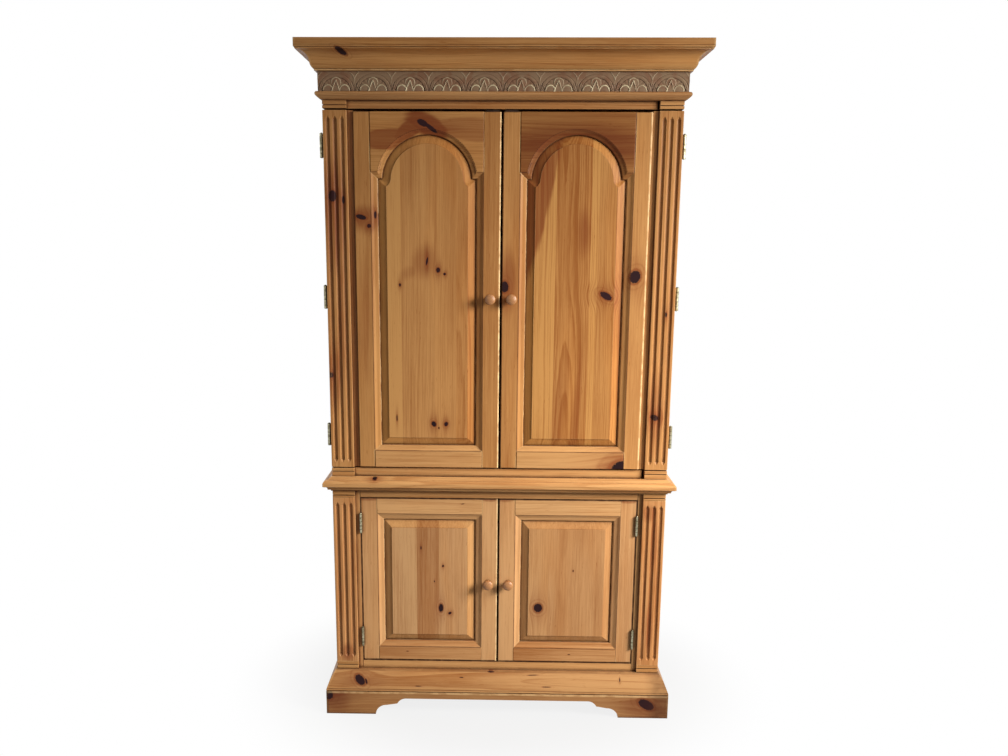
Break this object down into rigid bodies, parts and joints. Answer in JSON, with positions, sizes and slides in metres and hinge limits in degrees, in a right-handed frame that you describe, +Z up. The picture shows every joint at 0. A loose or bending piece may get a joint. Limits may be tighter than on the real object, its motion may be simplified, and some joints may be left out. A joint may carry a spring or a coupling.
{
  "type": "tv armoire",
  "caption": "Tall two-part pine armoire for a television: arched doors that swing with their fluted pilasters, carved frieze, cove cornice, low doors and bracket plinth.",
  "frame": {"origin": "bottom centre of the bounding box, on the floor", "axes": "+Z up, +X to the viewer's right, the doors face -Y"},
  "size_m": [1.206, 0.62, 2.134],
  "materials": {
    "pine": "satin lacquer over honey-stained knotty pine",
    "turned_pine": "satin lacquer over turned pine",
    "carved_frieze": "taupe-glazed carving with rubbed cream edges",
    "back_panel": "plain unstained board",
    "antique_brass": "aged brass",
    "steel": "zinc plated",
    "catch_plastic": "moulded brown"
  },
  "bodies": {
    "case": {"astragal": "pine", "base_moulding": "pine", "case_hinge_leaves": "antique_brass", "cornice": "pine", "door_catches": "catch_plastic", "frieze_front": "carved_frieze", "frieze_returns": "carved_frieze", "hinge_pins": "antique_brass", "lower_back": "back_panel", "lower_bottom_rail": "pine", "lower_floor": "pine", "lower_frame_stiles": "pine", "lower_pilasters": "pine", "lower_shelf": "pine", "lower_sides": "pine", "lower_top": "pine", "lower_top_rail": "pine", "pilaster_blocks": "pine", "plinth_front": "pine", "plinth_sides": "pine", "shelf_pins": "steel", "tv_deck": "pine", "upper_back": "back_panel", "upper_header": "pine", "upper_shelf": "pine", "upper_sides": "pine", "upper_top": "pine", "upper_top_rail": "pine", "waist_moulding": "pine", "waist_rail": "pine"},
    "upper_left_door": {"upper_left_bottom_rail": "pine", "upper_left_hinge_board": "pine", "upper_left_hinge_leaves": "antique_brass", "upper_left_knob": "turned_pine", "upper_left_panel": "pine", "upper_left_pilaster": "pine", "upper_left_stiles": "pine", "upper_left_strike": "steel", "upper_left_top_rail": "pine"},
    "upper_right_door": {"upper_right_bottom_rail": "pine", "upper_right_hinge_board": "pine", "upper_right_hinge_leaves": "antique_brass", "upper_right_knob": "turned_pine", "upper_right_panel": "pine", "upper_right_pilaster": "pine", "upper_right_stiles": "pine", "upper_right_strike": "steel", "upper_right_top_rail": "pine"},
    "lower_left_door": {"lower_left_hinge_leaves": "antique_brass", "lower_left_knob": "turned_pine", "lower_left_panel": "pine", "lower_left_rails": "pine", "lower_left_stiles": "pine", "lower_left_strike": "steel"},
    "lower_right_door": {"lower_right_hinge_leaves": "antique_brass", "lower_right_knob": "turned_pine", "lower_right_panel": "pine", "lower_right_rails": "pine", "lower_right_stiles": "pine", "lower_right_strike": "steel"}
  },
  "joints": [
    {"name": "upper_left_hinge", "type": "hinge", "parent": "case", "child": "upper_left_door", "pos_m": [-0.5475, -0.2107, 1.395], "axis": [0, 0, -1], "range_deg": [0, 180]},
    {"name": "upper_right_hinge", "type": "hinge", "parent": "case", "child": "upper_right_door", "pos_m": [0.5475, -0.2107, 1.395], "axis": [0, 0, 1], "range_deg": [0, 180]},
    {"name": "lower_left_hinge", "type": "hinge", "parent": "case", "child": "lower_left_door", "pos_m": [-0.4477, -0.238, 0.4585], "axis": [0, 0, -1], "range_deg": [0, 150]},
    {"name": "lower_right_hinge", "type": "hinge", "parent": "case", "child": "lower_right_door", "pos_m": [0.4477, -0.238, 0.4585], "axis": [0, 0, 1], "range_deg": [0, 150]}
  ]
}
